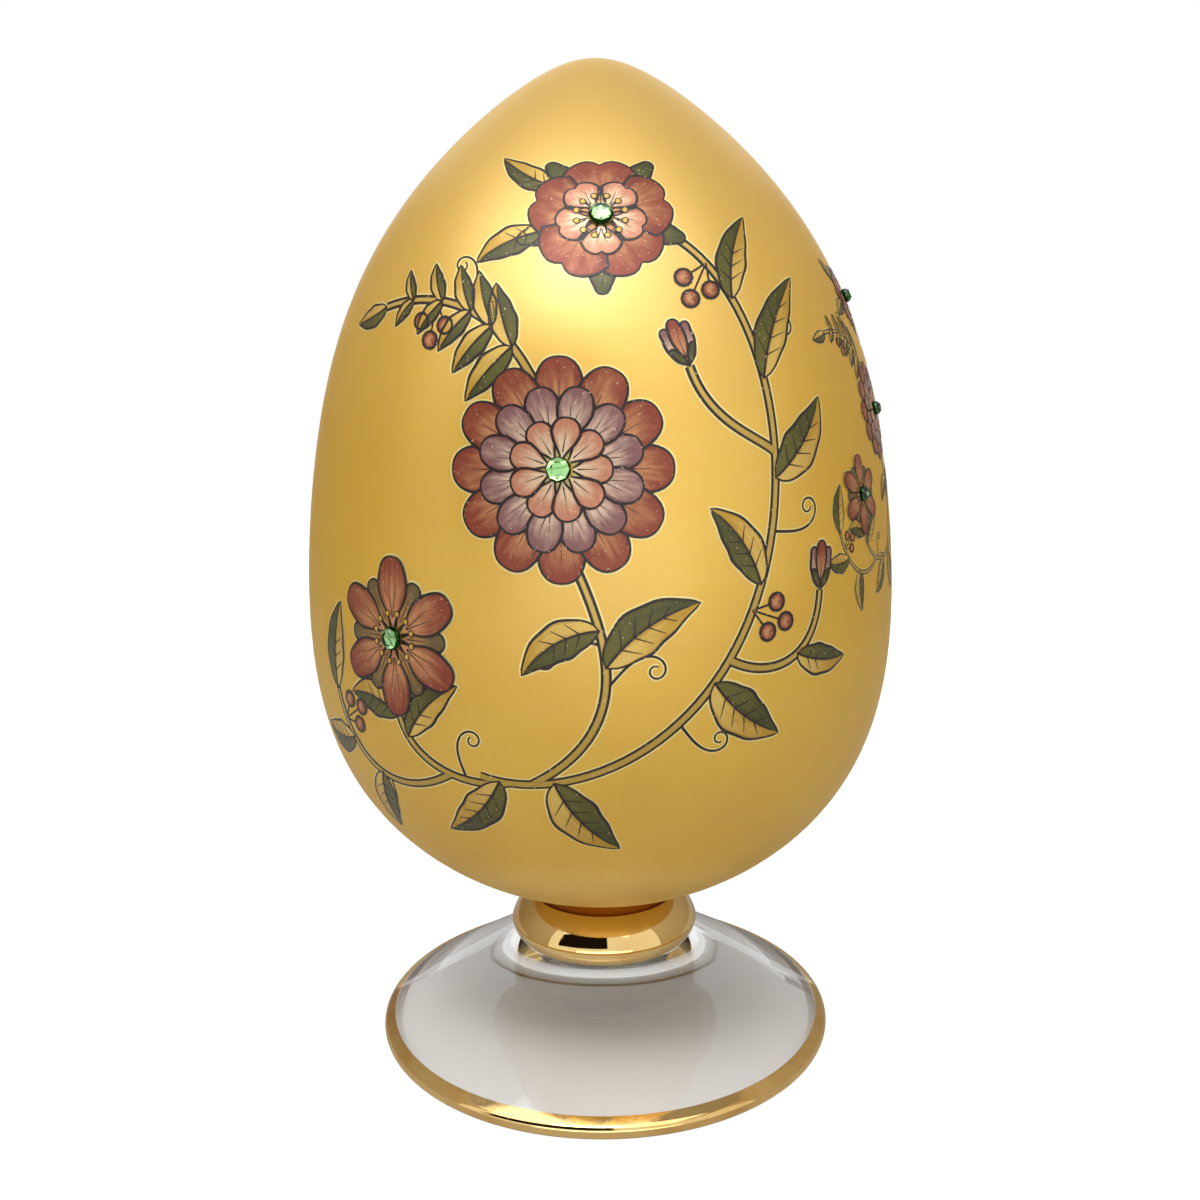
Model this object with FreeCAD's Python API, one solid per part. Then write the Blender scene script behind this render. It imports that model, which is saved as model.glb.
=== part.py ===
import FreeCAD, Part
import math
import os

# A decorative glass egg held by a gilt collar on a clear glass foot, in millimetres.
# +Z is up, the foot rests on z = 0 about the Z axis, and the front faces -Y.
# Azimuths are degrees from the front, positive towards +X.

V = FreeCAD.Vector

# Egg: a blown shell. Its radius is the sine of a station angle that runs from the lower pole
# to the upper one, shaped by a polynomial in that angle's cosine.
egg_length = 190.3
egg_radius = 65.3
egg_form_shares = (1.0, 0.168, 0.21, 0.14, -0.285)
egg_wall = 2.5
egg_stations = 24
station_step = 0.01

# Neck: the tube that the egg was blown on, cut short and cemented into the collar.
neck_radius = 16.8
neck_wall = 2.4
neck_show = 3.3
neck_fillet = 1.0

# Collar: a polished bead round the neck over a seat ring, with a fine groove where they meet.
bead_wall = 5.4
bead_height = 6.9
bead_lip = 0.3
bead_bulge_shares = (0.647, 0.455)
seat_ring_height = 3.3
seat_bulge_shares = (0.3, 0.5)
seat_ring_taper = 1.3
groove_depth = 0.3
groove_width = 0.4

# Cement: one gap for both joints, struck off a little below the collar's lip.
cement_gap = 0.4
cement_recess = 0.6

# Foot: clear glass, solid where it meets the collar, with a hollow underside
# that ends in a shallow polished mark.
foot_radius = 54.35
foot_height = 22.4
foot_rim_round = 1.74
foot_wall = 4.2
foot_boss_step = 1.8
foot_hollow_height = 17.0
foot_hollow_round = 0.4
pontil_radius = 7.0
pontil_depth = 0.8

# Gilding: a fired gold band that wraps the rim and ends on the slope and under the edge.
gilding_film = 0.15
gilding_width = 1.9
gilding_low_angle = -50.0

# Stones: flat-backed rhinestones, foiled, each on a pad of clear glue.
front_stone_diameter = 4.7
front_stone_height = 2.0
side_stone_diameter = 3.0
side_stone_height = 1.5
stone_corners = 8
stone_base_shares = (0.92, 0.0)
stone_girdle_shares = (1.0, 0.24)
stone_shoulder_shares = (1.0, 0.34)
stone_crown_shares = (0.87, 0.68)
stone_table_shares = (0.58, 1.0)
foil_thickness = 0.1
glue_film = 0.12
glue_clearance = 0.01
glue_width_share = 0.94

# Where the stones sit: azimuth, and height as a share of the egg's length.
stone_names = ("top", "middle", "low")
front_azimuths = (1.0, -6.5, -36.5)
front_height_shares = (0.795, 0.555, 0.385)
right_azimuths = (72.0, 68.5, 54.0)
left_azimuths = (-105.0, -108.5, -123.0)
side_height_shares = (0.727, 0.604, 0.517)

# Heights that follow from the stack: foot, seat ring, bead.
seam_height = foot_height + seat_ring_height
collar_top = seam_height + bead_height

# Radii that follow from the neck: its bore in the collar, the collar's girth, and the foot's
# boss and land under it.
neck_bore = neck_radius + cement_gap
collar_radius = neck_bore + bead_wall
foot_boss_radius = neck_radius - foot_boss_step
boss_bore = foot_boss_radius + cement_gap
foot_land_radius = collar_radius - seat_ring_taper


def form(cosine):
    """The egg's shaping polynomial and its slope."""
    value = sum(share * cosine ** power for power, share in enumerate(egg_form_shares))
    slope = sum(power * share * cosine ** (power - 1)
                for power, share in enumerate(egg_form_shares) if power)
    return value, slope


def egg_outline(angle, inset=0.0):
    """Radius and height above the lower pole at a station, set in along the normal, and that normal."""
    cosine, sine = math.cos(angle), math.sin(angle)
    value, slope = form(cosine)
    across = egg_radius * (cosine * value - sine * sine * slope)
    along = egg_length / 2 * sine
    steep = math.hypot(across, along)
    outward = (along / steep, -across / steep)
    radius = egg_radius * sine * value - inset * outward[0]
    height = egg_length / 2 * (1 - cosine) - inset * outward[1]
    return radius, height, outward


def station_at_radius(radius, inset=0.0):
    """The station near the lower pole where the outline has this radius."""
    low, high = 0.0, math.pi / 3
    for halving in range(60):
        middle = (low + high) / 2
        if egg_outline(middle, inset)[0] < radius:
            low = middle
        else:
            high = middle
    return high


neck_station = station_at_radius(neck_radius)
egg_pole = collar_top + neck_show - egg_outline(neck_station)[1]


def at(radius, height):
    """A point of a half section, in the XZ plane."""
    return V(radius, 0, height)


def line(start, end):
    return Part.LineSegment(start, end).toShape()


def arc_through(start, middle, end):
    return Part.Arc(start, middle, end).toShape()


def arc_about(centre, radius, start_angle, end_angle):
    """An arc of a half section from one angle to another, in degrees above the horizontal."""
    points = []
    for angle in (start_angle, (start_angle + end_angle) / 2, end_angle):
        turn = math.radians(angle)
        points.append(centre + at(radius * math.cos(turn), radius * math.sin(turn)))
    return Part.Arc(*points).toShape()


def bulged(start, end, shares):
    """An arc from start to end whose middle point lies at the given shares of the way in r and z."""
    middle = at(start.x + (end.x - start.x) * shares[0], start.z + (end.z - start.z) * shares[1])
    return arc_through(start, middle, end)


def revolved(edges):
    """The solid of a closed half section turned about the Z axis."""
    face = Part.Face(Part.Wire(edges))
    return face.revolve(V(0, 0, 0), V(0, 0, 1), 360)


def polygon_revolved(*corners):
    ring = list(corners) + [corners[0]]
    return revolved([line(start, end) for start, end in zip(ring, ring[1:])])


def edge_at(solid, radius, height):
    """The circular edge of a turned solid that has this radius and height."""
    def miss(edge):
        point = edge.Vertexes[0].Point
        return abs(math.hypot(point.x, point.y) - radius) + abs(point.z - height)
    rings = [edge for edge in solid.Edges if edge.Closed]
    return min(rings, key=miss)


def egg_curve(first_station, inset=0.0):
    """The outline from a station up to the upper pole: half of a smooth curve that crosses the pole."""
    rise = []
    for step in range(egg_stations):
        angle = first_station + (math.pi - first_station) * step / egg_stations
        radius, height, outward = egg_outline(angle, inset)
        rise.append(at(radius, egg_pole + height))
    apex = at(0, egg_pole + egg_outline(math.pi, inset)[1])
    fall = [at(-point.x, point.z) for point in reversed(rise)]
    outward = egg_outline(first_station, inset)[2]
    curve = Part.BSplineCurve()
    curve.interpolate(Points=rise + [apex] + fall,
                      InitialTangent=at(-outward[1], outward[0]),
                      FinalTangent=at(-outward[1], -outward[0]))
    curve.segment(curve.FirstParameter, (curve.FirstParameter + curve.LastParameter) / 2)
    return curve.toShape(), rise[0], apex


def make_egg_body():
    """The egg and its neck as if solid."""
    outline, shoulder, apex = egg_curve(neck_station)
    neck_end = seam_height + cement_gap
    body = revolved([
        outline,
        line(apex, at(0, neck_end)),
        line(at(0, neck_end), at(neck_radius, neck_end)),
        line(at(neck_radius, neck_end), shoulder)])
    return body.makeFillet(neck_fillet, [edge_at(body, neck_radius, shoulder.z)])


def make_egg_core():
    """The air inside the egg and down through the neck."""
    inner_radius = neck_radius - neck_wall
    outline, shoulder, apex = egg_curve(station_at_radius(inner_radius, egg_wall), egg_wall)
    return revolved([
        outline,
        line(apex, at(0, seam_height)),
        line(at(0, seam_height), at(inner_radius, seam_height)),
        line(at(inner_radius, seam_height), shoulder)])


def make_upper_collar():
    """The bead: a turned ring whose back rises in one sweep from the groove to the lip."""
    lip = at(neck_bore + bead_lip, collar_top)
    girth = at(collar_radius, seam_height + groove_width / 2)
    groove = at(collar_radius - groove_depth, seam_height)
    return revolved([
        line(at(neck_bore, seam_height), at(neck_bore, collar_top)),
        line(at(neck_bore, collar_top), lip),
        bulged(lip, girth, bead_bulge_shares),
        line(girth, groove),
        line(groove, at(neck_bore, seam_height))])


def make_lower_collar():
    """The seat ring: it stands on the foot's land and draws in to the land's edge."""
    groove = at(collar_radius - groove_depth, seam_height)
    girth = at(collar_radius, seam_height - groove_width / 2)
    heel = at(foot_land_radius, foot_height)
    return revolved([
        line(at(boss_bore, foot_height), at(boss_bore, seam_height)),
        line(at(boss_bore, seam_height), groove),
        line(groove, girth),
        bulged(girth, heel, seat_bulge_shares),
        line(heel, at(boss_bore, foot_height))])


def make_neck_cement():
    """A sleeve round the neck with a flange under its cut end."""
    neck_end = seam_height + cement_gap
    top = collar_top - cement_recess
    return polygon_revolved(
        at(neck_radius - neck_wall, seam_height),
        at(neck_bore, seam_height),
        at(neck_bore, top),
        at(neck_radius, top),
        at(neck_radius, neck_end),
        at(neck_radius - neck_wall, neck_end))


def make_boss_cement():
    """A cap over the foot's boss, filling the seat ring's bore."""
    boss_top = seam_height - cement_gap
    return polygon_revolved(
        at(0, boss_top),
        at(foot_boss_radius, boss_top),
        at(foot_boss_radius, foot_height),
        at(boss_bore, foot_height),
        at(boss_bore, seam_height),
        at(0, seam_height))


# The foot's slope runs from the edge of its land to where it meets the rim's round.
land_edge = at(foot_land_radius, foot_height)
rim_centre = at(foot_radius - foot_rim_round, foot_rim_round)
land_to_rim = rim_centre - land_edge
slope_angle = math.degrees(
    -math.atan2(land_to_rim.z, land_to_rim.x) - math.asin(foot_rim_round / land_to_rim.Length))
slope_normal = at(math.sin(math.radians(slope_angle)), math.cos(math.radians(slope_angle)))
slope_up = at(-slope_normal.z, slope_normal.x)
rim_shoulder = rim_centre + slope_normal * foot_rim_round


def make_foot():
    """The glass foot: boss, land, slope, round rim, resting ring and domed hollow."""
    boss_top = seam_height - cement_gap
    hollow_offset = slope_normal.dot(land_edge) - foot_wall
    hollow_edge = at(hollow_offset / slope_normal.x, 0)
    dome_radius = (hollow_offset - slope_normal.z * foot_hollow_height) / (1 - slope_normal.z)
    dome_centre = at(0, foot_hollow_height - dome_radius)
    dome_foot = dome_centre + slope_normal * dome_radius
    mark_angle = math.degrees(math.acos(pontil_radius / dome_radius))
    mark_edge = at(pontil_radius, dome_centre.z + dome_radius * math.sin(math.radians(mark_angle)))
    mark_top = at(0, foot_hollow_height + pontil_depth)
    mark_rise = mark_top.z - mark_edge.z
    mark_round = (pontil_radius ** 2 + mark_rise ** 2) / (2 * mark_rise)
    mark_centre = at(0, mark_top.z - mark_round)
    mark_low_angle = math.degrees(math.acos(pontil_radius / mark_round))
    foot = revolved([
        line(mark_top, at(0, boss_top)),
        line(at(0, boss_top), at(foot_boss_radius, boss_top)),
        line(at(foot_boss_radius, boss_top), at(foot_boss_radius, foot_height)),
        line(at(foot_boss_radius, foot_height), land_edge),
        line(land_edge, rim_shoulder),
        arc_about(rim_centre, foot_rim_round, 90 - slope_angle, -90),
        line(at(rim_centre.x, 0), hollow_edge),
        line(hollow_edge, dome_foot),
        arc_about(dome_centre, dome_radius, 90 - slope_angle, mark_angle),
        arc_about(mark_centre, mark_round, mark_low_angle, 90)])
    return foot.makeFillet(foot_hollow_round, [edge_at(foot, hollow_edge.x, 0)])


def make_foot_rim_gilding():
    """The gold band: a thin skin over the rim's round and a little way up the slope."""
    glass_top = rim_shoulder + slope_up * gilding_width
    film_step = slope_normal * gilding_film
    low = at(math.cos(math.radians(gilding_low_angle)), math.sin(math.radians(gilding_low_angle)))
    return revolved([
        arc_about(rim_centre, foot_rim_round, gilding_low_angle, 90 - slope_angle),
        line(rim_shoulder, glass_top),
        line(glass_top, glass_top + film_step),
        line(glass_top + film_step, rim_shoulder + film_step),
        arc_about(rim_centre, foot_rim_round + gilding_film, 90 - slope_angle, gilding_low_angle),
        line(rim_centre + low * (foot_rim_round + gilding_film), rim_centre + low * foot_rim_round)])


def stone_ring(diameter, height, shares, corners, turn):
    """The corners of one level of a stone, turned by a share of the step between corners."""
    radius = diameter / 2 * shares[0]
    ring = []
    for corner in range(corners):
        angle = 2 * math.pi * (corner + turn) / corners
        ring.append(V(radius * math.cos(angle), radius * math.sin(angle), height * shares[1]))
    return ring


def facet(*corners):
    return Part.Face(Part.makePolygon(list(corners) + [corners[0]]))


def make_stone(diameter, height):
    """A cut stone on its flat back: a girdle of short walls, a two-tier crown and a table."""
    doubled = 2 * stone_corners
    base = stone_ring(diameter, height, stone_base_shares, doubled, 0)
    girdle = stone_ring(diameter, height, stone_girdle_shares, doubled, 0)
    shoulder = stone_ring(diameter, height, stone_shoulder_shares, doubled, 0)
    crown = stone_ring(diameter, height, stone_crown_shares, stone_corners, 0)
    table = stone_ring(diameter, height, stone_table_shares, stone_corners, 0.5)
    facets = [facet(*base), facet(*table)]
    for side in range(doubled):
        after = (side + 1) % doubled
        facets.append(facet(base[side], base[after], girdle[after], girdle[side]))
        facets.append(facet(girdle[side], girdle[after], shoulder[after], shoulder[side]))
    for corner in range(stone_corners):
        after = (corner + 1) % stone_corners
        before_side, side, after_side = 2 * corner - 1, 2 * corner, 2 * corner + 1
        facets.append(facet(shoulder[before_side], shoulder[side], crown[corner]))
        facets.append(facet(shoulder[side], shoulder[after_side], crown[corner]))
        facets.append(facet(shoulder[after_side], crown[after], crown[corner]))
        facets.append(facet(crown[corner], crown[after], table[corner]))
        facets.append(facet(crown[corner], table[corner], table[corner - 1]))
    return Part.makeSolid(Part.makeShell(facets))


def station_at_height(height_share):
    """The station whose height is this share of the egg's length."""
    return math.acos(1 - 2 * height_share)


def roundness(station):
    """The radius of the ball that lies closest to the egg's surface at a station."""
    below = egg_outline(station - station_step)
    above = egg_outline(station + station_step)
    run = math.hypot(above[0] - below[0], above[1] - below[1])
    turn = math.hypot(above[2][0] - below[2][0], above[2][1] - below[2][1])
    radius, height, outward = egg_outline(station)
    return 2 / (turn / run + outward[0] / radius)


def seat(azimuth, height_share):
    """The placement of a stone's seat: on the egg, with Z along the surface's normal."""
    radius, height, outward = egg_outline(station_at_height(height_share))
    turn = math.radians(azimuth)
    spoke = V(math.sin(turn), -math.cos(turn), 0)
    east = V(math.cos(turn), math.sin(turn), 0)
    normal = spoke * outward[0] + V(0, 0, outward[1])
    point = spoke * radius + V(0, 0, egg_pole + height)
    return FreeCAD.Placement(point, FreeCAD.Rotation(east, normal.cross(east), normal, "ZXY"))


def placed(shape, seat_placement, lift):
    """A copy of a shape raised along its own Z and set on a seat."""
    copy = shape.copy()
    copy.translate(V(0, 0, lift))
    copy.Placement = seat_placement.multiply(copy.Placement)
    return copy


def make_pad(radius, ball_radius):
    """A glue pad with its top flat and its underside hollowed to lie on the egg."""
    ball = at(0, glue_clearance - ball_radius)
    rim_angle = math.acos(radius / ball_radius)
    rim = ball + at(radius, ball_radius * math.sin(rim_angle))
    return revolved([
        arc_about(ball, ball_radius, 90, math.degrees(rim_angle)),
        line(rim, at(radius, glue_film)),
        line(at(radius, glue_film), at(0, glue_film)),
        line(at(0, glue_film), at(0, glue_clearance))])


def add_spray(pieces, side, azimuths, height_shares, diameter, height):
    """One spray's stones as separate nodes, with their foils and glue pads as two groups."""
    back_radius = diameter / 2 * stone_base_shares[0]
    foil = Part.makeCylinder(back_radius, foil_thickness)
    foils = []
    pads = []
    for name, azimuth, height_share in zip(stone_names, azimuths, height_shares):
        place = seat(azimuth, height_share)
        pieces[side + "_stone_" + name] = placed(make_stone(diameter, height), place,
                                                 glue_film + foil_thickness)
        foils.append(placed(foil, place, glue_film))
        pad = make_pad(back_radius * glue_width_share, roundness(station_at_height(height_share)))
        pads.append(placed(pad, place, 0))
    pieces[side + "_stone_foils"] = Part.makeCompound(foils)
    pieces[side + "_stone_glue"] = Part.makeCompound(pads)


def build():
    pieces = {
        "egg_shell": make_egg_body().cut(make_egg_core()),
        "upper_collar": make_upper_collar(),
        "lower_collar": make_lower_collar(),
        "neck_cement": make_neck_cement(),
        "boss_cement": make_boss_cement(),
        "foot": make_foot(),
        "foot_rim_gilding": make_foot_rim_gilding()}
    add_spray(pieces, "front", front_azimuths, front_height_shares,
              front_stone_diameter, front_stone_height)
    add_spray(pieces, "right", right_azimuths, side_height_shares,
              side_stone_diameter, side_stone_height)
    add_spray(pieces, "left", left_azimuths, side_height_shares,
              side_stone_diameter, side_stone_height)
    return pieces


os.makedirs("parts", exist_ok=True)
for node, shape in build().items():
    print(node, len(shape.Solids), "solid(s)", round(shape.Volume, 2), "mm3", shape.isValid())
    shape.exportStep("parts/" + node + ".step")
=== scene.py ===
import bisect
import math

import bpy
from mathutils import Matrix, Vector


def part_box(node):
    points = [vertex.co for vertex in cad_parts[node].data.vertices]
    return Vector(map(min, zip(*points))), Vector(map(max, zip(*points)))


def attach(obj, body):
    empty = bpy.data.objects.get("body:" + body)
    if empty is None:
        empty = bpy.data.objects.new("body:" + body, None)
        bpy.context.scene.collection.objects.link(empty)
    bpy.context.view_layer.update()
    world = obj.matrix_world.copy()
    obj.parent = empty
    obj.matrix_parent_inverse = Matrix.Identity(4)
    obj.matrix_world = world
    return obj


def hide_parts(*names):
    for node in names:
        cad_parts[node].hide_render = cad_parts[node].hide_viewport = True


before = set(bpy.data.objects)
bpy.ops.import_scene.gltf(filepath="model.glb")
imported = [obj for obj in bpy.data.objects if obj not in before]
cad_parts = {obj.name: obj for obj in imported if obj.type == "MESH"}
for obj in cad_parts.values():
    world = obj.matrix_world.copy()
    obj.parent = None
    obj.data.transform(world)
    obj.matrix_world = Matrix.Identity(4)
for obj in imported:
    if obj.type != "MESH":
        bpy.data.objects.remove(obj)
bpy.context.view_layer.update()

# Millimetres in the scene's metres.
MM = 0.001


# The viewpoint: the camera stands a little above the egg's middle and close to it, tipped down
# and rolled by less than a degree.
def placed(name, data):
    """A new object of the scene that holds this mesh, lamp or camera."""
    made = bpy.data.objects.new(name, data)
    bpy.context.scene.collection.objects.link(made)
    return made


camera_place = Vector((-0.14, -279.0, 154.4)) * MM
camera_pitch = math.radians(10.18)
camera_roll = math.radians(-0.66)
lens = bpy.data.cameras.new("camera")
lens.lens = 36.0
lens.sensor_width = 36.0
lens.clip_start = 10 * MM
camera = placed("camera", lens)
bpy.context.scene.camera = camera
camera.matrix_world = (Matrix.Translation(camera_place)
                       @ Matrix.Rotation(math.pi / 2 - camera_pitch, 4, "X")
                       @ Matrix.Rotation(camera_roll, 4, "Z"))
bpy.context.scene.view_settings.view_transform = "Standard"


class Socket:
    """One output of a shader node. Python's operators on it add Math nodes."""

    def __init__(self, finish, source):
        self.finish = finish
        self.source = source

    def maths(self, operation, *others):
        return self.finish.node("ShaderNodeMath", {"operation": operation},
                                dict(enumerate((self, *others))))

    def __add__(self, other):
        return self.maths("ADD", other)

    def __sub__(self, other):
        return self.maths("SUBTRACT", other)

    def __rsub__(self, other):
        return self.finish.node("ShaderNodeMath", {"operation": "SUBTRACT"}, {0: other, 1: self})

    def __mul__(self, other):
        return self.maths("MULTIPLY", other)

    def __abs__(self):
        return self.maths("ABSOLUTE")

    def between(self, low, high):
        """0 below low, 1 above high, and smooth in between."""
        return self.finish.node("ShaderNodeMapRange", {"interpolation_type": "SMOOTHSTEP"},
                                {"Value": self, "From Min": low, "From Max": high})

    __radd__ = __add__
    __rmul__ = __mul__


class Finish:
    """A node tree, of a material unless another is given, and the one method that adds its nodes."""

    def __init__(self, name, tree=None):
        if tree is None:
            self.material = bpy.data.materials.new(name)
            self.material.use_nodes = True
            tree = self.material.node_tree
        self.tree = tree
        self.tree.nodes.clear()

    def node(self, kind, settings=None, inputs=None, output=0):
        made = self.tree.nodes.new(kind)
        for name, value in (settings or {}).items():
            setattr(made, name, value)
        for name, value in (inputs or {}).items():
            if isinstance(value, Socket):
                self.tree.links.new(value.source, made.inputs[name])
            else:
                made.inputs[name].default_value = value
        return Socket(self, made.outputs[output]) if made.outputs else None

    def mix(self, share, first, second):
        """Two colours mixed by a share of the second."""
        return self.node("ShaderNodeMix", {"data_type": "RGBA"}, {0: share, 6: first, 7: second}, output=2)

    def ray(self, kind):
        """1 for rays of this kind and 0 for others."""
        return self.node("ShaderNodeLightPath", output=f"Is {kind} Ray")

    def noise(self, scale, detail, vector=None):
        """A cloudy pattern over the object's own place, or over another vector."""
        inputs = {"Scale": scale, "Detail": detail}
        inputs["Vector"] = vector or self.node("ShaderNodeTexCoord", output="Object")
        return self.node("ShaderNodeTexNoise", inputs=inputs)

    def bump(self, height, depth):
        """A Bump node's normal, for a height map of this depth in metres."""
        return self.node("ShaderNodeBump", inputs={"Height": height, "Distance": depth, "Strength": 1.0})

    def principled(self, **values):
        """A Principled shader; a value's name is its socket's, with underscores for spaces."""
        return self.node("ShaderNodeBsdfPrincipled",
                         inputs={name.replace("_", " "): value for name, value in values.items()})

    def surface(self, shader):
        self.node("ShaderNodeOutputMaterial", inputs={"Surface": shader})
        return self.material


def seen_as(red, green, blue):
    """The scene colour that a screen shows as these values out of 255."""
    def linear(value):
        share = value / 255
        return share / 12.92 if share <= 0.04045 else ((share + 0.055) / 1.055) ** 2.4
    return (linear(red), linear(green), linear(blue), 1.0)


# The table: a plain pale top. The camera sees it as white paper, with the object's shadow, and
# gilt and glass see it a little brighter than it is lit.
white = (1.0, 1.0, 1.0, 1.0)
table_finish = Finish("pale_table")
paper = table_finish.node("ShaderNodeBsdfDiffuse", inputs={"Color": seen_as(191, 188, 185)})
mirrored = table_finish.ray("Glossy").maths("MAXIMUM", table_finish.ray("Transmission"))
lift = table_finish.ray("Camera") * 0.85 + mirrored * 0.04
glow = table_finish.node("ShaderNodeEmission", inputs={"Color": white, "Strength": lift})


def sheet_of(name, corners, finish):
    """A flat stage piece of one face."""
    mesh = bpy.data.meshes.new(name)
    mesh.from_pydata(corners, [], [tuple(range(len(corners)))])
    mesh.materials.append(finish)
    made = placed(name, mesh)
    return made


def level_square(half, height):
    """The corners of a level square about the egg's axis."""
    return [(-half, -half, height), (half, -half, height), (half, half, height), (-half, half, height)]


sheet_of("table_top", level_square(half=1.2, height=0),
         table_finish.surface(table_finish.node("ShaderNodeAddShader", inputs={0: paper, 1: glow})))

# The room: white to the camera, gilt and glass, and dimmer as a light on the object. A large soft
# lamp hangs above the front, with a smaller key lamp just under it, and a low fill stands in front.
wall_level = 0.42
ceiling_level = 0.45
bpy.context.scene.world = bpy.data.worlds.new("room")
bpy.context.scene.world.use_nodes = True
room = Finish("room", bpy.context.scene.world.node_tree)
direction = room.node("ShaderNodeTexCoord", output="Generated")
upward = room.node("ShaderNodeSeparateXYZ", inputs={"Vector": direction}, output="Z")
level = upward.between(0.05, 0.85) * (ceiling_level - wall_level) + wall_level
mirrored = room.ray("Glossy").maths("MAXIMUM", room.ray("Transmission"))
seen = room.ray("Camera").maths("MAXIMUM", mirrored)
background = room.node("ShaderNodeBackground", inputs={
    "Color": white, "Strength": level + seen * (1 - level)})
room.node("ShaderNodeOutputWorld", inputs={"Surface": background})


def lamp(name, place, aim, width, depth, watts):
    """A soft oblong lamp, turned to its aim."""
    data = bpy.data.lights.new(name, "AREA")
    data.shape = "RECTANGLE"
    data.size = width
    data.size_y = depth
    data.energy = watts
    made = placed(name, data)
    made.location = place
    made.rotation_euler = (Vector(aim) - Vector(place)).to_track_quat("-Z", "Y").to_euler()


lamp("ceiling_light", place=(-0.1, -0.48, 1.1), aim=(0, -0.05, 0.12), width=1.7, depth=0.8, watts=7.9)
lamp("key_light", place=(-0.14, -0.62, 1.02), aim=(0, -0.1, 0.15), width=0.5, depth=0.25, watts=2.8)
lamp("low_fill", place=(0, -1.1, 0.13), aim=(0, 0, 0.08), width=1.4, depth=0.24, watts=1.6)


# The flags: cards set up round the object, as a studio does for polished metal. A dark one stands
# in front, left of the camera, pale grey ones on each side and one overhead. Only gloss shows them.
def flag(name, tone, corners):
    """A plain card of this tone."""
    card_finish = Finish(name)
    paint = card_finish.node("ShaderNodeBsdfDiffuse", inputs={"Color": tone})
    card = sheet_of(name, corners, card_finish.surface(paint))
    for kind in ("camera", "diffuse", "shadow", "transmission"):
        setattr(card, "visible_" + kind, False)


flag("front_flag", seen_as(40, 34, 30),
     [(-0.75, -0.5, 0.17), (0.03, -0.5, 0.17), (0.03, -0.5, 0.62), (-0.75, -0.5, 0.62)])
for name, side in (("left_flag", -0.5), ("right_flag", 0.5)):
    flag(name, seen_as(215, 203, 186),
         [(side, -0.2, 0), (side, 0.9, 0), (side, 0.9, 0.7), (side, -0.2, 0.7)])
flag("ceiling_flag", seen_as(235, 233, 230), level_square(half=1.2, height=1.4))

# The foot: clear pressed glass, fire-polished, so its skin is smooth with faint ripples. It lets
# the light through to the table, so it casts no shadow of its own. Cement and gilt touch it on the
# land and the boss, so its own skin fades out just below the land.
glass = Finish("clear_glass")
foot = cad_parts["foot"]
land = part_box("lower_collar")[0][2]
fade_start = 0.06
fade_end = 0.02
rise = glass.node("ShaderNodeSeparateXYZ", inputs={
    "Vector": glass.node("ShaderNodeTexCoord", output="Object")}, output="Z")
bedded = rise.between(land - fade_start * MM, land - fade_end * MM)
foot.data.materials[0] = glass.surface(glass.principled(
    Base_Color=(0.985, 0.985, 0.98, 1.0), Roughness=0.0, IOR=1.5, Transmission_Weight=1.0,
    Alpha=1 - bedded, Normal=glass.bump(glass.noise(60.0, 1.0), 0.03 * MM)))
foot.visible_shadow = False


# The gold: one bright gilt for the fired band on the foot's rim and for the collar's bead and
# seat ring, polished, with faint wiping marks and thinner, redder gold in places.
def gilt_finish(name, polish, wear):
    """Gold of this roughness, and rougher by up to the wear where it was wiped."""
    gilt = Finish(name)
    cloud = gilt.noise(45.0, 3.0)
    wipe = gilt.noise(700.0, 2.0)
    colour = gilt.mix(cloud.between(0.42, 0.72), seen_as(238, 205, 138), seen_as(214, 166, 92))
    return gilt.surface(gilt.principled(
        Base_Color=colour, Metallic=1.0, Roughness=polish + wipe.between(0.45, 0.8) * wear,
        Normal=gilt.bump(cloud, 0.012 * MM)))


polished_gilt = gilt_finish("polished_gilt", polish=0.03, wear=0.08)
for name in ("upper_collar", "lower_collar"):
    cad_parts[name].data.materials[0] = polished_gilt

# The fired band: a gold film over the rim's round and a little way up the foot's slope. It is turned
# here in finer steps than the solid's, so that a reflection runs along it without a break.
gilding_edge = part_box("foot_rim_gilding")[1][0] / MM
gilding_film = 0.15
gilding_width = 1.9
rim_round = 1.74
rim_centre = Vector((gilding_edge - gilding_film - rim_round, rim_round))
foot_slope = 30.76
gilding_low = math.radians(-50)
gilding_high = math.radians(90 - foot_slope)
round_steps = 24
turn_steps = 480


def spoke(angle):
    """A flat unit vector at this angle, in radians."""
    return Vector((math.cos(angle), math.sin(angle)))


def rim_arc(radius):
    """Points round the rim at this radius from its centre, from under the edge up to the slope."""
    drawn = []
    for step in range(round_steps + 1):
        angle = gilding_low + (gilding_high - gilding_low) * step / round_steps
        drawn.append(rim_centre + spoke(angle) * radius)
    return drawn


outside, inside = rim_arc(rim_round + gilding_film), rim_arc(rim_round)
up_slope = Vector((-math.sin(gilding_high), math.cos(gilding_high))) * gilding_width
section = outside + [outside[-1] + up_slope, inside[-1] + up_slope] + inside[::-1]
corners, faces = [], []
for turn in range(turn_steps):
    angle = 2 * math.pi * turn / turn_steps
    corners.extend(Vector((point.x * math.sin(angle), -point.x * math.cos(angle), point.y)) * MM
                   for point in section)
    here, after = turn * len(section), (turn + 1) % turn_steps * len(section)
    for place in range(len(section)):
        above = (place + 1) % len(section)
        faces.append((here + place, after + place, after + above, here + above))
band_mesh = bpy.data.meshes.new("rim_gold_band")
band_mesh.from_pydata(corners, [], faces)
band_mesh.shade_smooth()
band_mesh.set_sharp_from_angle(angle=math.radians(40))
band_mesh.materials.append(gilt_finish("gold_film", polish=0.07, wear=0.12))
band = placed("rim_gold_band", band_mesh)
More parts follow.
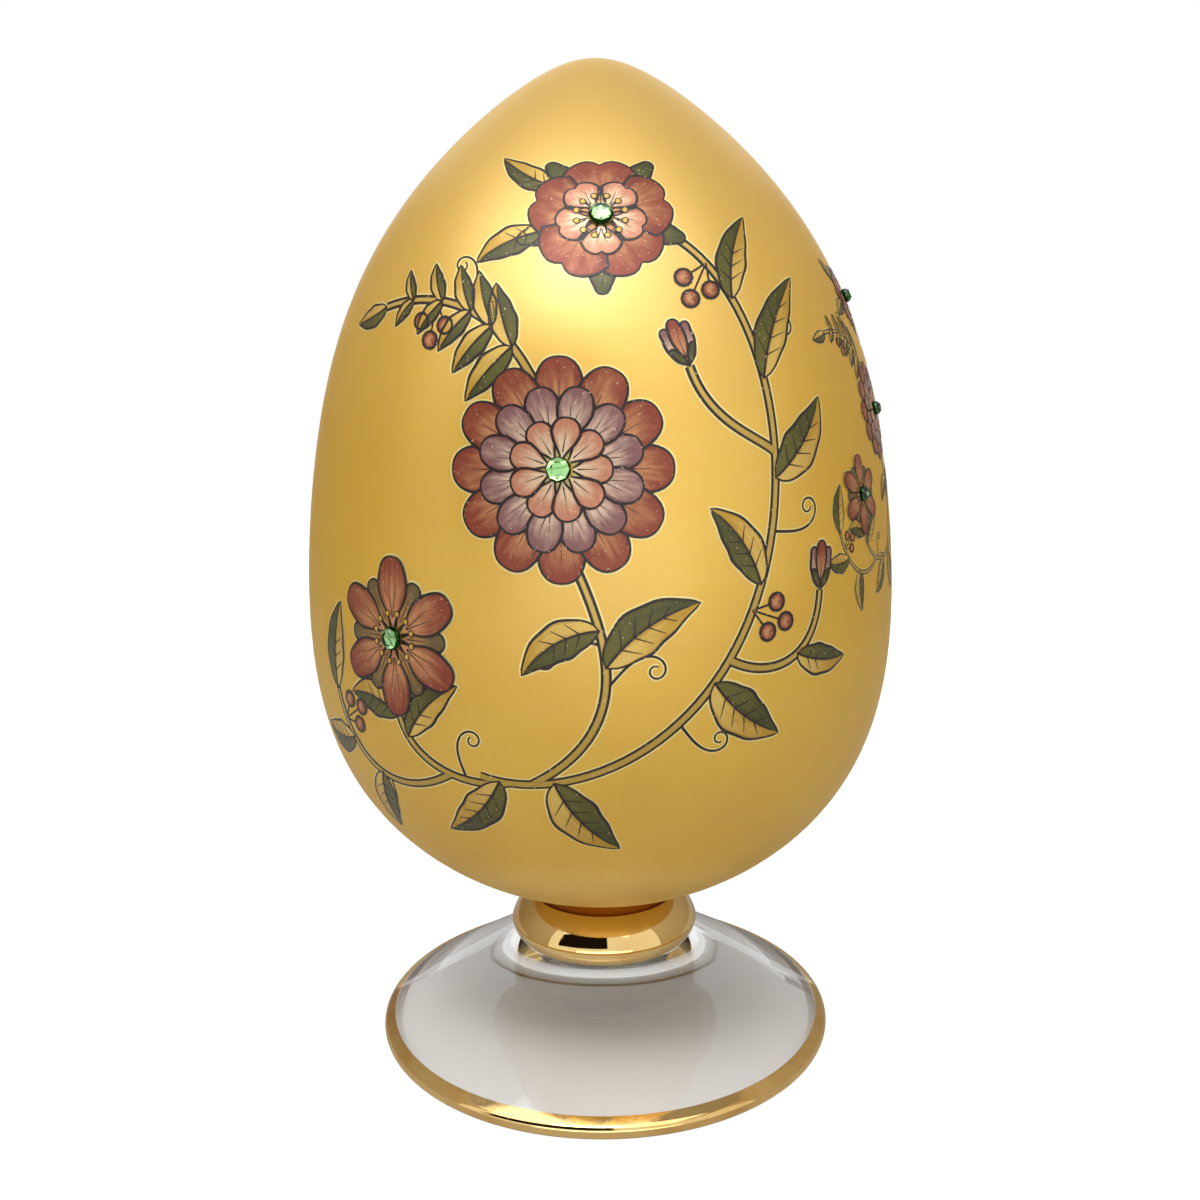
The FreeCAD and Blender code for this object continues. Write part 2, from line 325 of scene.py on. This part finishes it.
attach(band, "root")
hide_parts("foot_rim_gilding")

# The cement: a pale filler round the neck and over the foot's boss, struck off matt.
filler = Finish("cement")
grit = filler.noise(1500.0, 4.0)
filler_surface = filler.surface(filler.principled(
    Base_Color=filler.mix(grit, seen_as(205, 200, 188), seen_as(228, 224, 214)), Roughness=0.85,
    Normal=filler.bump(grit, 0.04 * MM)))
for name in ("neck_cement", "boss_cement"):
    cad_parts[name].data.materials[0] = filler_surface

# The egg: blown glass, spray-lacquered outside in pearl-gold while it turned, so faint rings
# run round it under an even, satin clear coat. Towards the top the gold is painted paler as a painted
# highlight, and the neck under the egg is painted dark amber as painted shade.
lacquer = Finish("satin_gold_lacquer")
place = lacquer.node("ShaderNodeTexCoord", output="Object")
rings = lacquer.noise(1.0, 3.0, lacquer.node("ShaderNodeMapping", inputs={
    "Vector": place, "Scale": (6.0, 6.0, 420.0)}))
clouds = lacquer.noise(38.0, 3.0)
pearl = lacquer.noise(2600.0, 2.0)
gold = lacquer.mix(clouds.between(0.3, 0.75), seen_as(234, 186, 18), seen_as(228, 178, 14))
gold = lacquer.mix(rings.between(0.45, 0.8) * 0.12, gold, seen_as(232, 194, 96))
gold = lacquer.mix(pearl.between(0.55, 0.8) * 0.2, gold, seen_as(244, 212, 120))
height = lacquer.node("ShaderNodeSeparateXYZ", inputs={"Vector": place}, output="Z")
# Painted highlight: from this height up the gold is painted paler, where the overhead light falls on the
# top.
painted_highlight_start = 125
painted_highlight_end = 225
gold = lacquer.mix(height.between(painted_highlight_start * MM, painted_highlight_end * MM), gold, seen_as(236, 192, 88))
collar_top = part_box("upper_collar")[1][2]
# Painted shade: the neck, in the shade under the egg's bulge, is painted dark amber and has no coat; the
# gold comes in above it.
neck_shade_start = 2.4
neck_shade_end = 3.6
above_neck_shade = height.between(collar_top + neck_shade_start * MM, collar_top + neck_shade_end * MM)
neck_shade_amber = seen_as(150, 78, 6)
gold = lacquer.mix(above_neck_shade, neck_shade_amber, gold)
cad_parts["egg_shell"].data.materials[0] = lacquer.surface(lacquer.principled(
    Base_Color=gold, Metallic=0.6, Roughness=0.44 + clouds * 0.05, Specular_IOR_Level=0.1,
    Coat_Weight=above_neck_shade * 0.36, Coat_IOR=3.4, Coat_Roughness=0.38,
    Normal=lacquer.bump(pearl + rings * 2.0, 0.004 * MM)))

# The painter's sheet: the design is drawn flat in millimetres, x round the egg and y up it from
# its lower pole, and laid on the egg's formula a film or more above the lacquer.
egg_length = 190.3
egg_radius = 65.3
egg_form_shares = (1.0, 0.168, 0.21, 0.14, -0.285)
egg_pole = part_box("egg_shell")[1][2] / MM - egg_length
paint_film = 0.012
stations = 2000
stroke_share = 0.98


def egg_outline(angle):
    """Radius and height at a station, and the outward normal's two parts."""
    cosine, sine = math.cos(angle), math.sin(angle)
    value = sum(share * cosine ** power for power, share in enumerate(egg_form_shares))
    slope = sum(power * share * cosine ** (power - 1)
                for power, share in enumerate(egg_form_shares) if power)
    across = egg_radius * (cosine * value - sine * sine * slope)
    along = egg_length / 2 * sine
    steep = math.hypot(across, along)
    rise = egg_pole + egg_length / 2 * (1 - cosine)
    return egg_radius * sine * value, rise, along / steep, -across / steep


outline = [egg_outline(math.pi * (station + 0.5) / stations) for station in range(stations)]
climb = [outline[0][0]]
for low, high in zip(outline, outline[1:]):
    climb.append(climb[-1] + math.hypot(high[0] - low[0], high[1] - low[1]))


def level_at(y):
    """The outline's row where the climb from the lower pole is y, between its two nearest stations."""
    above = min(max(bisect.bisect_left(climb, y), 1), stations - 1)
    share = (y - climb[above - 1]) / (climb[above] - climb[above - 1])
    return [low + (high - low) * share for low, high in zip(outline[above - 1], outline[above])]


def sheet_place(corner_pair):
    """Where the middle of a box lies: its azimuth from the front, and its y on the sheet."""
    middle = (Vector(corner_pair[0]) + Vector(corner_pair[1])) / (2 * MM)
    radius = math.hypot(middle.x, middle.y)
    nearest = min(range(stations), key=lambda row: math.hypot(
        outline[row][0] - radius, outline[row][1] - middle.z))
    return math.atan2(middle.x, -middle.y), climb[nearest]


class Spray:
    """One flank's copy of the design, set by where that flank's top and low stones are."""

    # Where the top and low stones lie on the sheet, which is drawn for the front.
    front_top = (0.84, 193.2)
    front_low = (-42.53, 112.0)

    def __init__(self, side):
        self.azimuth, self.top = sheet_place(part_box(side + "_stone_top"))
        low_azimuth, low = sheet_place(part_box(side + "_stone_low"))
        reach = (low_azimuth - self.azimuth) * level_at(low)[0]
        self.wide = reach / (self.front_low[0] - self.front_top[0])
        self.high = (low - self.top) / (self.front_low[1] - self.front_top[1])

    def lay(self, point, films):
        """The point of the egg, in metres, where a point of the sheet lies under this many films."""
        radius, height, out, up = level_at(self.top + (point[1] - self.front_top[1]) * self.high)
        turn = self.azimuth + (point[0] - self.front_top[0]) * self.wide / radius
        thick = films * paint_film
        reach = radius + out * thick
        return Vector((reach * math.sin(turn), -reach * math.cos(turn), height + up * thick)) * MM


sprays = [Spray(side) for side in ("front", "right", "left")]


class Painting:
    """One painted piece: its strokes on the sheet, laid on every flank when it is finished."""

    def __init__(self, *finishes):
        self.finishes = finishes
        self.strokes = []

    def patch(self, finish, films, rows):
        """A grid of sheet points, given as rows of equal length."""
        self.strokes.append((self.finishes.index(finish), films, rows))

    def line(self, finish, films, points, width, closed=False):
        """A ribbon along points; width is a number, or a function of the share of the way along."""
        count = len(points)
        rows = []
        for place in range(count + closed):
            here = points[place % count]
            before = points[(place - 1) % count] if closed or place else here
            after = points[(place + 1) % count] if closed or place < count - 1 else here
            heading = (after - before).normalized()
            half = (width(place / (count - 1 + closed)) if callable(width) else width) / 2
            side = Vector((-heading.y, heading.x)) * half
            rows.append([here - side, here + side])
        self.patch(finish, films, rows)

    def lay_down(self, name):
        """Makes the mesh object, one sheet copy for each flank. In its UV map a stroke runs across
        in x, and in y along most of a unit of its own, so that streaks differ from stroke to stroke."""
        corners, faces, tones, uvs = [], [], [], []
        for spray in sprays:
            for number, (tone, films, rows) in enumerate(self.strokes):
                start, wide, last = len(corners), len(rows[0]), len(rows) - 1
                corners.extend(spray.lay(point, films) for row in rows for point in row)
                for row in range(last):
                    for column in range(wide - 1):
                        ring = [(row, column), (row, column + 1), (row + 1, column + 1), (row + 1, column)]
                        if sum(rows[a][b].cross(rows[c][d]) for (a, b), (c, d)
                               in zip(ring, ring[1:] + ring[:1])) < 0:
                            ring.reverse()
                        faces.append([start + a * wide + b for a, b in ring])
                        tones.append(tone)
                        uvs.extend((b / (wide - 1), number + stroke_share * a / last) for a, b in ring)
        mesh = bpy.data.meshes.new(name)
        mesh.from_pydata(corners, [], faces)
        for finish in self.finishes:
            mesh.materials.append(finish)
        mesh.polygons.foreach_set("material_index", tones)
        mesh.uv_layers.new(name="stroke").uv.foreach_set("vector", [part for uv in uvs for part in uv])
        mesh.shade_smooth()
        piece = placed(name, mesh)
        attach(piece, "root")


def paint_finish(name, root, tip, edge, gleam):
    """A brushed paint: root to tip along each stroke, darker towards its sides, with fine streaks."""
    paint = Finish(name)
    stroke = paint.node("ShaderNodeUVMap", {"uv_map": "stroke"})
    across = paint.node("ShaderNodeSeparateXYZ", inputs={"Vector": stroke}, output="X")
    along = paint.node("ShaderNodeSeparateXYZ", inputs={"Vector": stroke}, output="Y")
    streak = paint.noise(1.0, 4.0, paint.node("ShaderNodeMapping", inputs={
        "Vector": stroke, "Scale": (9.0, 2.2, 1.0)}))
    blot = paint.noise(260.0, 3.0)
    way = along.maths("FRACT") + (streak - 0.5) * 0.9 + (blot - 0.5) * 0.5
    colour = paint.mix(way.between(0.1, 0.95), root, tip)
    side = abs(across - 0.5) * 2 + (streak - 0.5) * 0.5
    colour = paint.mix(side.between(0.55, 1.05) * 0.7, colour, edge)
    speck = paint.noise(1900.0, 1.0).between(0.7, 0.76)
    colour = paint.mix(speck * 0.55, colour, seen_as(240, 222, 180))
    return paint.surface(paint.principled(
        Base_Color=colour, Metallic=gleam, Roughness=0.34 + streak * 0.12, Coat_Weight=0.16,
        Coat_Roughness=0.3, Normal=paint.bump(streak + blot, 0.02 * MM)))


bare_gold = seen_as(246, 226, 150)
halo = paint_finish("bare_gold_edge", bare_gold, bare_gold, bare_gold, 0.5)
ink = paint_finish("dark_outline", seen_as(34, 10, 8), seen_as(22, 5, 4), seen_as(20, 4, 4), 0.05)
outline_width = 0.46
outline_swell = 0.225
halo_width = 1.15


def path(*points, steps):
    """A smooth curve drawn out in steps from its control points."""
    drawn = []
    for step in range(steps + 1):
        share = step / steps
        chain = [Vector(point) for point in points]
        while len(chain) > 1:
            chain = [first.lerp(second, share) for first, second in zip(chain, chain[1:])]
        drawn.append(chain[0])
    return drawn


def fading(width, loss):
    """The width of a line that is thinner by this loss at its far end."""
    return lambda share: width - loss * share


def outlined(painting, films, points, closed):
    """A dark line that swells and thins, over the pale edge that shows along it."""
    painting.line(halo, 1, points, halo_width, closed)
    painting.line(ink, films, points, lambda share: outline_width * (
        1 - outline_swell * math.cos(4 * math.pi * share)), closed)


# The stems: a crescent that rises round the right of the sheet to the top bloom, and branches to
# the other two. Each is a dark line with a paler one inside it, ending in thin tendrils.
stem_gold = paint_finish("stem_gold", seen_as(188, 156, 68), seen_as(208, 174, 88),
                         seen_as(120, 92, 36), 0.4)
stems = Painting(halo, ink, stem_gold)
stem_width = 1.25
stem_outline = 0.75
stem_halo = 1.4
crescent = path((-24, 86), (2, 78), (52, 106), (44, 164), (22, 188), (9, 191), steps=70)
to_rosette = path(crescent[5], (8, 98), (0, 116), (-6, 130), steps=34)
to_star = path(crescent[3], (-30, 82), (-46, 90), (-42, 104), steps=30)
to_flank = path(to_star[10], (-44, 76), (-60, 82), (-64, 100), steps=30)
to_bud = path(crescent[40], (30, 150), (20, 152), (16.5, 163), steps=22)
to_side_bud = path(crescent[24], (32, 104), (44, 106), (45, 120), steps=24)
to_fern = path((-8, 150), (-14, 172), (-26, 180), (-46, 176), steps=34)
for line in (crescent, to_rosette, to_star, to_flank, to_bud, to_side_bud, to_fern):
    stems.line(halo, 1, line, stem_width + stem_halo)
    stems.line(ink, 3, line, stem_width + stem_outline)
    stems.line(stem_gold, 5, line, fading(stem_width, loss=stem_width * 0.35))


def tendril(start, heading, reach, hand):
    """A line that leaves its stem and winds up into a spiral; heading is in degrees from east."""
    angle = math.radians(heading)
    here = start.copy()
    points = []
    turns = 1.3
    steps = 56
    for step in range(steps):
        points.append(here.copy())
        # It turns ever faster, and has made all its turns by its end.
        angle += hand * 2 * math.pi * turns * 3 * (step / steps) ** 2 / steps
        here += spoke(angle) * reach / steps
    stems.line(halo, 1, points, width=1.0)
    stems.line(ink, 4, points, fading(width=0.6, loss=0.25))


tendril(crescent[34], heading=-5, reach=22, hand=1)
tendril(crescent[50], heading=40, reach=20, hand=-1)
tendril(crescent[18], heading=-55, reach=20, hand=1)
tendril(to_rosette[15], heading=50, reach=22, hand=-1)
tendril(to_rosette[21], heading=165, reach=24, hand=1)
tendril(to_star[7], heading=110, reach=20, hand=-1)
tendril(to_fern[20], heading=65, reach=20, hand=1)
tendril(to_flank[12], heading=-80, reach=16, hand=-1)
stems.lay_down("painted_stems")

# The leaves: two-tone almonds, one half green and the other mustard, with a dark rib, and a fern
# of small leaflets at the upper left.
leaf_green = paint_finish("leaf_green", seen_as(98, 94, 34), seen_as(64, 66, 22), seen_as(40, 40, 16), 0.2)
mustard = paint_finish("mustard", seen_as(224, 188, 96), seen_as(190, 146, 44), seen_as(140, 98, 30), 0.4)
leaves = Painting(halo, ink, leaf_green, mustard)
leaf_films = 7


def leaf(start, tip, width, bend, first=leaf_green, second=mustard, ribs=0):
    """A leaf from its stem to its tip, bent sideways, with a rib and pairs of side ribs."""
    start, tip = Vector(start), Vector(tip)
    run = tip - start
    side = Vector((-run.y, run.x)).normalized()
    spine = path(start, start + run * 0.5 + side * bend, tip, steps=20)
    edges = []
    for hand, finish in ((1, first), (-1, second)):
        rows = []
        for place, point in enumerate(spine):
            way = place / (len(spine) - 1)
            heading = spine[min(place + 1, len(spine) - 1)] - spine[max(place - 1, 0)]
            out = Vector((-heading.y, heading.x)).normalized() * hand
            # An almond, widest a little nearer its stem, with a slightly uneven edge.
            half = width / 2 * math.sin(math.pi * way ** 0.8) ** 0.85 * (1 + 0.04 * math.sin(way * 20))
            rows.append([point + out * half * share for share in (0, 0.34, 0.67, 1)])
        leaves.patch(finish, leaf_films, rows)
        edges.append([row[-1] for row in rows])
    outlined(leaves, leaf_films + 2, edges[0] + edges[1][-2:0:-1], closed=True)
    leaves.line(ink, leaf_films + 3, spine[:-2], fading(width=0.5, loss=0.3))
    for rib in range(ribs):
        way = 4 + rib * 3
        for edge in edges:
            side_rib = path(spine[way], spine[way].lerp(edge[way + 3], 0.75), steps=4)
            leaves.line(ink, leaf_films + 3, side_rib, fading(width=0.3, loss=0.18))


leaf(crescent[7], (3, 69), width=9.0, bend=-3, ribs=4)
leaf(crescent[2], (-32, 71), width=8.0, bend=3, ribs=4)
leaf(crescent[22], (35, 93), width=9.0, bend=-3, ribs=4)
leaf(crescent[30], (20, 137), width=7.0, bend=-3, ribs=3)
leaf(crescent[38], (46, 157), width=8.5, bend=-3, ribs=4)
leaf(crescent[46], (41, 181), width=7.5, bend=3, ribs=4)
leaf(crescent[54], (30, 194), width=6.5, bend=3, ribs=3)
leaf(to_rosette[18], (18, 120), width=8.5, bend=4, ribs=4)
leaf(to_rosette[23], (-15, 107), width=7.0, bend=-4, ribs=3)
leaf(to_star[20], (-28, 104), width=6.5, bend=3, ribs=2)
leaf(to_star[24], (-57, 99), width=7.5, bend=-3, ribs=3)
leaf(to_side_bud[14], (53, 106), width=6.0, bend=-2, ribs=2)
leaf(to_flank[14], (-48, 66), width=7.5, bend=-3, ribs=3)
leaf(to_flank[22], (-74, 88), width=7.5, bend=3, ribs=3)
leaf(to_flank[29], (-60, 117), width=7.5, bend=3, ribs=3)
leaf((-10, 190), (-23, 184), width=6.0, bend=-2, ribs=2)
leaf((-7, 200), (-18, 209), width=5.5, bend=2, ribs=2)
for count, mark in enumerate((11, 15, 19, 24, 29)):
    reach = 12.5 - 1.5 * count
    width = reach * 0.42
    point = to_fern[mark]
    leaf(point, point + Vector((-0.25, 1.0)) * reach, width, bend=1.0, first=mustard, second=leaf_green)
    leaf(point, point + Vector((-0.75, -0.8)) * reach, width, bend=-1.0)
leaf(to_fern[-1], to_fern[-1] + Vector((-11, -3)), width=4.5, bend=1.0)
leaves.lay_down("painted_leaves")

# The blooms: a rosette of three rings in the middle, a wild rose above and a pointed star at the
# lower left, each round its stone, and two buds. Every petal is shaded and then outlined.
rust = paint_finish("rust_petal", seen_as(202, 142, 94), seen_as(136, 58, 36), seen_as(98, 36, 24), 0.3)
mauve = paint_finish("mauve_petal", seen_as(226, 194, 168), seen_as(132, 88, 88),
                     seen_as(104, 62, 62), 0.3)
blush = paint_finish("blush_petal", seen_as(236, 208, 172), seen_as(196, 128, 98),
                     seen_as(160, 86, 62), 0.35)
olive = paint_finish("olive_petal", seen_as(176, 128, 74), seen_as(104, 88, 52), seen_as(74, 58, 36), 0.3)
blooms = Painting(halo, ink, rust, mauve, blush, olive, mustard, leaf_green)


def petal(finish, films, centre, bearing, near, far, half_turn, roundness=0.28, notch=0.0,
          point=0.0, sway=0.0, veins=0):
    """A petal that spreads from near to far along a bearing, in degrees anticlockwise from east."""
    centre = Vector(centre)

    def spot(way, side):
        """A point of the petal: way from its root to its tip, and side from -1 to 1 across it."""
        # It is a third as wide at its root. A pointed one narrows again after a third of its way.
        spread = 0.34 + 0.66 * math.sin(math.pi / 2 * min(1, way * 1.35))
        if point:
            spread *= 1 - point * max(0, way - 0.35) ** 1.4
        top = far * (1 - roundness * abs(side) ** 2.6 - notch * max(0, 1 - abs(side) * 3) ** 2)
        reach = near + (top - near) * way
        angle = math.radians(bearing + half_turn * spread * side + sway * way * way)
        return centre + spoke(angle) * reach

    ways = [place / 11 for place in range(12)]
    sides = [place / 8 - 1 for place in range(17)]
    blooms.patch(finish, films, [[spot(way, side) for side in sides] for way in ways])
    left = [spot(way, 1) for way in reversed(ways)]
    right = [spot(way, -1) for way in ways]
    outlined(blooms, films + 1, right + [spot(1, side) for side in sides[1:-1]] + left, closed=False)
    for vein in range(veins):
        side = 0.45 * (vein - (veins - 1) / 2)
        line = [spot(0.12 + 0.5 * place / 6, side * (0.6 + 0.1 * place)) for place in range(7)]
        blooms.line(ink, films + 1.5, line, fading(width=0.26, loss=0.18))


def ring(finish, films, centre, count, start, near, far, overlap, **shape):
    """A ring of petals. Neighbours lie at three levels in turn, so that each overlaps the next."""
    for number in range(count):
        petal(finish, films + 2 * (number % 3), centre, start + 360 / count * number, near, far,
              180 / count * overlap, **shape)


def stamens(films, centre, count, near, far):
    """Thin lines from near to far round a stone, each with a dot at its tip."""
    for number in range(count):
        heading = spoke(2 * math.pi * (number + 0.5) / count)
        root, tip = Vector(centre) + heading * near, Vector(centre) + heading * far
        blooms.line(ink, films, path(root, tip, steps=3), width=0.3)
        dot(mustard, films + 1, tip, radius=0.62)


def dot(finish, films, centre, radius):
    """A round dab of paint with a dark edge."""
    rows = [[Vector(centre) + spoke(turn * math.pi / 6) * reach for turn in range(13)]
            for reach in (radius * 0.02, radius)]
    blooms.patch(finish, films, rows)
    blooms.line(ink, films + 0.5, rows[1][:-1], radius * 0.34, closed=True)


stone_edge = 2.3
rosette = (-7.24, 144.55)
ring(rust, 11, rosette, count=12, start=0, near=9.5, far=20.5, overlap=1.12,
     roundness=0.26, veins=1)
ring(mauve, 18, rosette, count=12, start=15, near=6.0, far=15.2, overlap=1.12,
     roundness=0.26, veins=2)
ring(blush, 25, rosette, count=9, start=0, near=stone_edge, far=9.4, overlap=1.1,
     roundness=0.25, veins=1)

wild_rose = Spray.front_top
for number in range(5):
    petal(leaf_green, 6, wild_rose, bearing=54 + 72 * number, near=9, far=16.5, half_turn=13,
          roundness=0.1, point=1.0)
ring(rust, 11, wild_rose, count=5, start=90, near=stone_edge, far=13.8, overlap=1.16,
     roundness=0.2, notch=0.1, veins=3)
ring(blush, 18, wild_rose, count=5, start=126, near=stone_edge, far=8.6, overlap=0.92,
     roundness=0.2, notch=0.08, veins=2)
stamens(25, wild_rose, count=12, near=stone_edge, far=4.6)

star = Spray.front_low
ring(olive, 11, star, count=6, start=0, near=stone_edge, far=12.2, overlap=0.8,
     roundness=0.12, point=1.05, veins=1)
ring(rust, 18, star, count=6, start=30, near=stone_edge, far=15.6, overlap=0.9,
     roundness=0.1, point=1.0, veins=2)
stamens(25, star, count=12, near=stone_edge, far=4.8)

for centre, bearing in ((to_bud[-1], 112), (to_side_bud[-1], 86)):
    for films, hand in ((8, -1), (10, 1)):
        petal(mauve, films, centre, bearing + 26 * hand, near=0.6, far=8.5, half_turn=17,
              roundness=0.2, point=0.9, sway=-10 * hand)
    petal(rust, 12, centre, bearing, near=0.6, far=9.4, half_turn=19, roundness=0.16, point=0.95, veins=1)
    for films, hand in ((14, -1), (16, 1)):
        petal(leaf_green, films, centre, bearing + 30 * hand, near=0.0, far=4.6, half_turn=22, point=0.9)


def berries(start, heading):
    """Three berries, each on a thin stalk of its own."""
    for turn, reach in ((-32, 5.5), (0, 8.0), (32, 5.5)):
        tip = start + spoke(math.radians(heading + turn)) * reach
        blooms.line(ink, 5, path(start, start.lerp(tip, 0.5), tip, steps=4), width=0.4)
        dot(rust, 7, tip, radius=1.7)


berries(to_fern[25], heading=-100)
berries(crescent[28], heading=-20)
berries(to_flank[25], heading=30)
berries(crescent[59], heading=-115)
blooms.lay_down("painted_blooms")

# The stones: green flat-backed crystals, silvered with foil behind and set on clear glue. Light
# comes back from the foil through the crown; the girdle, where it is lost, has painted dark shade.
crown_green = (0.46, 0.86, 0.36, 1.0)
girdle_painted_shade = (0.01, 0.05, 0.008, 1.0)
# Heights over the egg, from and to: where a stone's skin comes in above its silvered back, and
# where its painted dark girdle shade turns into the clear crown.
back_line = (0.23 * MM, 0.27 * MM)
large_girdle_line = (1.42 * MM, 1.6 * MM)
small_girdle_line = (0.92 * MM, 1.08 * MM)


def crystal_finish(name, girdle_line):
    """A stone's glass, which changes with the height over the egg along the stone's own axis."""
    azimuth, middle = sheet_place(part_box(name))
    radius, height, out, up = level_at(middle)
    axis = Vector((out * math.sin(azimuth), -out * math.cos(azimuth), up))
    seat = (radius * out + height * up) * MM
    crystal = Finish(name + "_glass")
    place = crystal.node("ShaderNodeTexCoord", output="Object")
    rise = crystal.node("ShaderNodeVectorMath", {"operation": "DOT_PRODUCT"},
                        {0: place, 1: axis}, "Value") - seat
    # Painted shade: below the girdle line the glass is painted dark green and made metal, for the light
    # the girdle loses.
    edge = 1 - rise.between(*girdle_line)
    return crystal.surface(crystal.principled(
        Base_Color=crystal.mix(edge, crown_green, girdle_painted_shade), Metallic=edge,
        Roughness=0.0, IOR=1.6, Transmission_Weight=1.0,
        Alpha=rise.between(*back_line)))


foil = Finish("mirror_foil")
crinkle = foil.noise(1400.0, 2.0)
foil_surface = foil.surface(foil.principled(
    Base_Color=foil.mix(crinkle, (0.86, 0.92, 0.84, 1.0), (0.96, 0.98, 0.94, 1.0)), Metallic=1.0,
    Roughness=0.06, Normal=foil.bump(crinkle, 0.001 * MM)))
glue = Finish("clear_glue")
bubble = glue.noise(2000.0, 1.0)
glue_surface = glue.surface(glue.principled(
    Base_Color=glue.mix(bubble, seen_as(222, 214, 190), seen_as(236, 230, 210)), Roughness=0.15,
    Alpha=0.7, Normal=glue.bump(bubble, 0.01 * MM)))
for name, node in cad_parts.items():
    if name.endswith("_foils"):
        node.data.materials[0] = foil_surface
    elif name.endswith("_glue"):
        node.data.materials[0] = glue_surface
    elif "_stone_" in name:
        line = large_girdle_line if name.startswith("front") else small_girdle_line
        node.data.materials[0] = crystal_finish(name, line)
